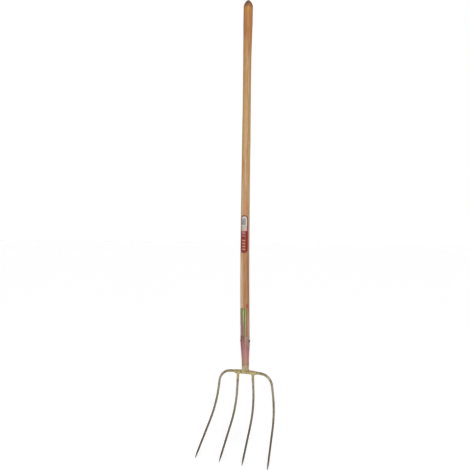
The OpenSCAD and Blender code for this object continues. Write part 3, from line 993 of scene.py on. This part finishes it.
flame_place = on_wood(radians(40), label_high.z + 34 * mm)
patch_place = on_wood(radians(30), knob_z - 10 * mm)
mark_place = on_wood(radians(58), strap_top_z + 9 * mm)
print("red mark at, metres:", [round(value, 3) for value in mark_place])

# %% Mix the ash
ash_tones = [(0, (216, 190, 158)), (0.25, (216, 193, 163)), (0.4, (206, 176, 140)), (0.6, (195, 163, 114)),
             (0.8, (197, 161, 115)), (0.9, (190, 140, 92)), (0.974, (190, 137, 80)), (0.983, (136, 92, 60)),
             (1, (104, 67, 46))]


def oiled_ash():
    """Ash with its grain, a few marks, painted shade on its right above the socket, and painted shade along
    the edges of the straps.
    """
    material, tree, shader = finish("oiled_ash", Specular_IOR_Level=0.35)
    x, z = place_of(tree)["X"], place_of(tree)["Z"]
    height = spread(z, mouth_z, shaft_high.z)
    tone = ramp(height, ash_tones)
    # Painted shade: the right side of the shaft above the socket is darkened towards brown.
    painted_right_shade = times(spread(x, -6 * mm, 1.5 * mm), spread(height, 0.44, 0.2, 0, 0.8))
    painted_right_shade = times(painted_right_shade, spread(height, 0.04, 0.13, 0.78, 1))
    tone = mixed(painted_right_shade, tone, (158, 106, 66))
    lines = spread(noise(tree, 240, 3), 0.42, 0.58)
    flames = spread(noise(tree, 130, 6, 2), 0.56, 0.64)
    pores = spread(noise(tree, 1500, 30, 2), 0.52, 0.68)
    brown = mixed(1.0, tone, (222, 184, 138), "MULTIPLY")
    layers = [
        (growth_rings(tree), 0.6, brown),
        (lines, 0.4, brown),
        (flames, 0.6, (170, 108, 56)),
        (pores, 0.35, (112, 72, 42)),
        (spot(tree, flame_place, 1 * mm, 5 * mm, 7), 0.7, (192, 116, 56)),
        (spot(tree, patch_place, 1.5 * mm, 6 * mm, 2.2), 0.5, (212, 150, 66)),
        (spot(tree, mark_place, 3.5 * mm, 6.5 * mm, 1.6), 0.75, (146, 50, 32)),
    ]
    grained = tone
    for pattern, strength, colour in layers:
        grained = mixed(times(pattern, strength), grained, colour)
    # Painted shade: the wood just beside the edges of the straps is darkened.
    beside = reckon("ABSOLUTE", along_strap(tree))
    strap_edge_shade = times(spread(beside, 13 * mm, 15.5 * mm, 0.7, 0),
                 spread(z, strap_top_z + 1 * mm, strap_top_z - 6 * mm))
    grained = mixed(strap_edge_shade, grained, (112, 92, 54))
    coated(shader, grained, spread(pores, 0, 1, 0.45, 0.65), less(times(lines, 0.4), pores), 0.15 * mm, 0.5)
    return material


ash = oiled_ash()
print("nodes in the ash:", len(ash.node_tree.nodes))

# %% [markdown]
# ## Yellow-passivated steel
# The steel parts are zinc plated and dipped in a yellow chromate bath, which dries to a thin film with
# oil-slick colours: gold where it is thick, rose, purple and green where it is thinner. So one recipe
# serves all of them, with other colours along the height of each part: green and purple on the straps,
# rose on the socket, gold on the bow, and darker brown down the tines towards their points. Some colours
# are painted light: pale lines on the straps are painted reflections of the lamps, the socket carries
# painted shade, the neck a painted highlight, and the welds under the neck painted light.

# %% One recipe for plated steel
def plated(name, low_z, high_z, tones, stain, streak, rough, tint=None, metallic=0.75, grain=(260, 9)):
    """Plated steel with tones along its height, a stain in patches, and streaks with so many waves per
    metre across and along the shaft. A tint is a function that paints more over the colour so far."""
    material, tree, shader = finish(name, Metallic=metallic)
    patches = noise(tree, 45, 28, 3)
    height = plus(spread(place_of(tree)["Z"], low_z, high_z), spread(patches, 0.3, 0.7, -0.07, 0.07))
    colour = ramp(height, tones)
    if tint:
        colour = tint(tree, colour, height)
    runs = noise(tree, *grain, 3)
    specks = noise(tree, 1400, 900, 2)
    colour = mixed(spread(patches, 0.5, 0.74, 0, 0.5), colour, stain)
    colour = mixed(spread(runs, 0.5, 0.66, 0, 0.6), colour, streak)
    colour = mixed(spread(specks, 0.62, 0.75, 0, 0.5), colour, (92, 80, 68))
    coated(shader, colour, spread(specks, 0.3, 0.8, rough, rough + 0.2), plus(specks, times(runs, 0.6)),
           0.08 * mm, 0.4)
    return material


def strap_tint_and_reflections(tree, colour, height):
    """Pale lines down the strap, painted reflections of the lamps, with darker strips between: purple left,
    green right, and darker olive at the right edge.
    """
    reflection_pitch = 9.4 * mm
    reflection_start = 2.3 * mm
    across = along_strap(tree)
    # Painted reflections: a wave across the strap lays pale lines where the lamps would shine in it, with
    # darker strips between.
    reflection_wave = reckon("COSINE", times(less(across, reflection_start), 2 * pi / reflection_pitch))
    greener = spread(plus(across, times(times(height, height), 25 * mm)), 3.5 * mm, 11 * mm)
    dark = mixed(greener, (138, 98, 98), (62, 94, 30))
    pale = mixed(greener, (178, 138, 134), (214, 212, 146))
    runs = mixed(spread(reflection_wave, -0.7, 0.7), dark, pale)
    runs = mixed(spread(across, 9 * mm, 11.5 * mm, 0, 0.85), runs, (112, 100, 58))
    return mixed(spread(height, 0.2, 1, 0.65, 0.9), colour, runs)


def olive_cast_and_painted_shade(tree, colour, height):
    """A grey-olive cast on the right of the socket, strongest at the mouth and painted darker near the
    middle as shade over the lamp's highlight, and a brown painted shade on its left.
    """
    x = place_of(tree)["X"]
    right = spread(x, -1 * mm, 10 * mm)
    # Painted shade: the left of the socket is darkened towards brown.
    left = spread(x, -5 * mm, -15 * mm)
    # The olive is darkest near the middle, painted there as shade where the strip lamp's highlight falls.
    olive = ramp(right, [(0.2, (128, 108, 94)), (0.6, (136, 118, 102)), (1, (190, 176, 150))])
    colour = mixed(times(left, spread(height, 0.3, 0.8, 0.45, 0.7)), colour, (108, 72, 64))
    return mixed(times(right, spread(height, 0.6, 0.9, 0, 0.9)), colour, olive)


def welding_gold(tree, colour, height):
    """Bright gold in the middle of the bow, where welding burnt it clean before the bath."""
    away = reckon("ABSOLUTE", place_of(tree)["X"])
    share = times(spread(away, 34 * mm, 75 * mm, 0.95, 0), spread(height, 0.9, 0.945))
    return mixed(share, colour, (208, 190, 134))

# %% Mix the plated steels
# The tines are darker brown towards their points.
tine_tones = [(0, (87, 78, 66)), (0.3, (93, 84, 69)), (0.55, (135, 124, 102)), (0.85, (164, 153, 125)),
              (1, (160, 150, 116))]
socket_tones = [(0, (178, 150, 120)), (0.08, (178, 140, 117)), (0.2, (178, 128, 118)),
                (0.3, (178, 125, 121)), (0.55, (174, 121, 122)), (0.85, (160, 110, 104)),
                (1, (154, 108, 98))]
# The neck is paler towards the bow at its foot: a painted highlight.
neck_tones_with_highlight = [(0, (194, 176, 146)), (0.4, (188, 168, 138)), (0.7, (174, 150, 118)), (1, (166, 140, 116))]
strap_tones = [(0, (156, 120, 112)), (0.4, (154, 124, 116)), (0.75, (144, 134, 104)), (1, (140, 140, 90))]
# The weld tones are brightest low down, at the beads on the bow under the neck: painted light where the
# neck shades them.
weld_tones_with_light = [(0, (172, 158, 106)), (0.1, (220, 204, 150)), (0.2, (220, 204, 150)), (0.28, (174, 156, 108)),
              (1, (150, 120, 104))]
rivet_tones = [(0, (80, 64, 54)), (1, (90, 74, 62))]

tine_steel = plated("plated_tines", 0, bow_high.z, tine_tones, (112, 104, 70), (104, 88, 72), 0.4,
                    welding_gold, grain=(90, 60))
socket_steel = plated("plated_socket", rim_z, mouth_z, socket_tones, (160, 110, 108), (136, 94, 90), 0.36,
                      olive_cast_and_painted_shade)
neck_steel = plated("plated_neck", neck_low.z, rim_z, neck_tones_with_highlight, (188, 176, 152), (146, 126, 102), 0.26,
                    metallic=0.95, grain=(120, 120))
strap_steel = plated("plated_straps", mouth_z, strap_top_z, strap_tones, (142, 112, 110), (128, 110, 90),
                     0.34, strap_tint_and_reflections)
weld_steel = plated("plated_welds", fillet_low_z, strap_low.z, weld_tones_with_light, (150, 122, 84), (150, 124, 100),
                    0.38)
rivet_steel = plated("plated_rivet", side_low.z, side_high.z, rivet_tones, (72, 58, 48), (70, 56, 46), 0.6,
                     metallic=0.3)
steels = (tine_steel, socket_steel, neck_steel, strap_steel, weld_steel, rivet_steel)
print("steel finishes:", [steel.name for steel in steels])

# %% [markdown]
# ## Printed film and paper
# The label carries plain bars instead of words: its print is drawn from the UV map with constant colour
# ramps, which cut hard edges as a printer does. The film is glossy, with fine scuffs. The sticker is
# matt paper with a block of grey bars and two faint tinted bands.

# %% Mix the print
def bars(value, edges):
    """1 between each pair of edges, 0 elsewhere."""
    stops = [(0, BLACK)] + [(edge, (WHITE, BLACK)[i % 2]) for i, edge in enumerate(edges)]
    return ramp(value, stops, "CONSTANT")


def row_edges(start, pitch, height, count):
    """The edges of a row of bars."""
    return [edge for i in range(count) for edge in (start + pitch * i, start + height + pitch * i)]


def print_place(tree):
    """Across and along the flat film, both from 0 to 1."""
    flat = node(tree, "UVMap", {"uv_map": "print"}).outputs[0]
    return node(tree, "SeparateXYZ", Vector=flat).outputs


def edge_distance(across, along, width, length):
    """How far inside the edge of a film with round ends a point lies, in metres."""
    x = times(less(across, 0.5), width)
    z = times(less(along, 0.5), length)
    past = reckon("MAXIMUM", less(reckon("ABSOLUTE", z), (length - width) / 2), 0.0)
    return less(width / 2, reckon("SQRT", plus(times(x, x), times(past, past))))


def printed_film():
    """Glossy red film with plain bars and a dark edge."""
    material, tree, shader = finish("printed_film", Specular_IOR_Level=0.25, Coat_Weight=0.2,
                                    Coat_Roughness=0.12)
    across, along = print_place(tree)["X"], print_place(tree)["Y"]
    inked = mixed(spread(noise(tree, 120, 40), 0.35, 0.7), (144, 6, 10), (150, 16, 18))
    inked = mixed(bars(across, [0.06, 0.74]), inked, (126, 42, 46))
    gold = times(bars(along, row_edges(0.08, 0.078, 0.036, 4)), bars(across, [0.2, 0.66]))
    inked = mixed(times(gold, 0.65), inked, (206, 168, 116))
    faint = times(bars(along, [0.43, 0.47, 0.5, 0.58]), bars(across, [0.16, 0.66]))
    inked = mixed(times(faint, 0.4), inked, (198, 160, 158))
    inked = mixed(bars(along, [0.7]), inked, (84, 70, 68))
    border = spread(edge_distance(across, along, label_width, label_length), 1.4 * mm, 1 * mm)
    inked = mixed(border, inked, (84, 40, 32))
    scuffs = noise(tree, 900, 60, 3)
    inked = mixed(spread(scuffs, 0.6, 0.75, 0, 0.15), inked, (190, 140, 130))
    coated(shader, inked, spread(scuffs, 0.4, 0.8, 0.3, 0.5), scuffs, 0.05 * mm, 0.3)
    return material


def sticker_paper():
    """Matt white paper with a block of grey bars."""
    material, tree, shader = finish("sticker_paper")
    across, along = print_place(tree)["X"], print_place(tree)["Y"]
    fibres = noise(tree, 700, 500, 3)
    paper = mixed(spread(fibres, 0.3, 0.7), (198, 182, 172), (212, 199, 189))
    grey = times(bars(along, row_edges(0.42, 0.074, 0.048, 6)), bars(across, [0.04, 0.8]))
    inked = mixed(times(grey, 0.9), paper, (58, 66, 66))
    tint = ramp(along, [(0, (222, 200, 200)), (0.16, (226, 214, 208)), (0.3, (196, 212, 202)),
                        (0.42, WHITE)])
    inked = mixed(0.7, inked, tint, "MULTIPLY")
    coated(shader, inked, spread(fibres, 0.3, 0.7, 0.55, 0.75), fibres, 0.05 * mm, 0.3)
    return material


film = printed_film()
paper = sticker_paper()
print("printed finishes:", film.name, paper.name)

# %% [markdown]
# ## Handing the pieces over
# Each piece now gets its finish, rides on the fork's one body, and stands in for its part of the frame,
# which is then hidden.

# %% Dress the fork
dressing = [
    (ash_shaft, ash, "ash_wood", ["handle"]),
    (socket, socket_steel, "socket_steel", ["socket"]),
    (neck, neck_steel, "socket_steel", ["neck"]),
    (front_strap, strap_steel, "strap_steel", ["front_strap"]),
    (back_strap, strap_steel, "strap_steel", ["back_strap"]),
    (front_weld, weld_steel, "weld_steel", ["front_strap_weld"]),
    (back_weld, weld_steel, "weld_steel", ["back_strap_weld"]),
    (ring_weld, weld_steel, "weld_steel", ["ring_weld"]),
    (bow_weld, weld_steel, "weld_steel", ["bow_welds"]),
    (outer_bow, tine_steel, "tine_steel", ["outer_tine_bow"]),
    (inner_tines[-1], tine_steel, "tine_steel", ["inner_tine_left"]),
    (inner_tines[1], tine_steel, "tine_steel", ["inner_tine_right"]),
    (root_welds[-1], weld_steel, "weld_steel", ["inner_weld_left"]),
    (root_welds[1], weld_steel, "weld_steel", ["inner_weld_right"]),
    (side_rivet, rivet_steel, "rivet_steel", ["side_rivet"]),
    (strap_rivets, strap_steel, "rivet_steel", ["strap_rivets"]),
    (label, film, "label_film", ["label"]),
    (sticker, paper, "sticker_paper", ["sticker"]),
]
for piece, material, slot, nodes in dressing:
    piece.data.materials.clear()
    piece.data.materials.append(material)
    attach(piece, "root")
    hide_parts(*nodes)
print("pieces dressed:", len(dressing))

# %% [markdown]
# ## Floor, sky and lamps
# The fork stands on a pale floor in a white room. A sun with a wide disc is the big soft lamp: it lights
# the floor evenly to the horizon and still leaves a soft shadow. The room lights the fork at a plain
# level, but the camera sees it as white. So do reflections of what lies behind the fork, while those of
# what lies in front are dimmer, so that the plating keeps its colour. The floor adds a little glow for
# the same rays, so that it meets the white of the room while its shadow stays.

# %% Build the studio
room_light = 0.5
front_light = 0.3
floor_glow = 0.3


def seen_directly(tree):
    """1 for rays from the camera and for reflections and refractions of it, else 0."""
    path = node(tree, "LightPath").outputs
    seen = reckon("MAXIMUM", path["Is Camera Ray"], path["Is Glossy Ray"])
    return reckon("MAXIMUM", seen, path["Is Transmission Ray"])


bpy.ops.mesh.primitive_plane_add(size=120, location=(0, 0, 0))
floor = named("floor")
floor_paint, tree, shader = finish("floor_paint", Base_Color=(0.88, 0.88, 0.88, 1), Roughness=0.9,
                                   Emission_Color=screen(*WHITE))
feed(shader.inputs["Emission Strength"], times(seen_directly(tree), floor_glow))
floor.data.materials.append(floor_paint)

world = bpy.data.worlds.new("white_room")
bpy.context.scene.world = world
world.use_nodes = True
tree = world.node_tree
room = tree.nodes["Background"]
room.inputs["Color"].default_value = screen(*WHITE)
forward = (-sin(camera_turn), cos(camera_turn), 0)
towards = node(tree, "TexCoord").outputs["Generated"]
mirrored = spread(reckon("DOT_PRODUCT", towards, forward, kind="VectorMath"), 0.6, 0.95, front_light, 1)
glossy = node(tree, "LightPath").outputs["Is Glossy Ray"]
seen_room = plus(times(glossy, mirrored), less(1.0, glossy))
direct = seen_directly(tree)
plain = times(less(1.0, direct), room_light)
feed(room.inputs["Strength"], plus(plain, times(direct, seen_room)))
print("room light:", room_light, "floor glow:", floor_glow)

# %% Hang the lamps
sun_turn = radians(32)
sun_rise = radians(48)
bpy.ops.object.light_add(type="SUN", rotation=(pi / 2 - sun_rise, 0, sun_turn))
sun = bpy.context.object
sun.data.energy = 1.3
sun.data.angle = radians(30)

strip_turn = radians(34)
strip_distance = 2.2
strip_height = 0.9
bpy.ops.object.light_add(type="AREA", location=round_shaft(strip_turn, strip_distance, strip_height),
                         rotation=(pi / 2, 0, strip_turn))
strip_lamp = bpy.context.object
strip_lamp.data.shape = "RECTANGLE"
strip_lamp.data.size = 0.7
strip_lamp.data.size_y = 2.4
strip_lamp.data.energy = 12
bpy.context.scene.view_settings.view_transform = "Standard"
print("sun:", round(sun.data.energy, 2), "strip lamp, watts:", strip_lamp.data.energy)
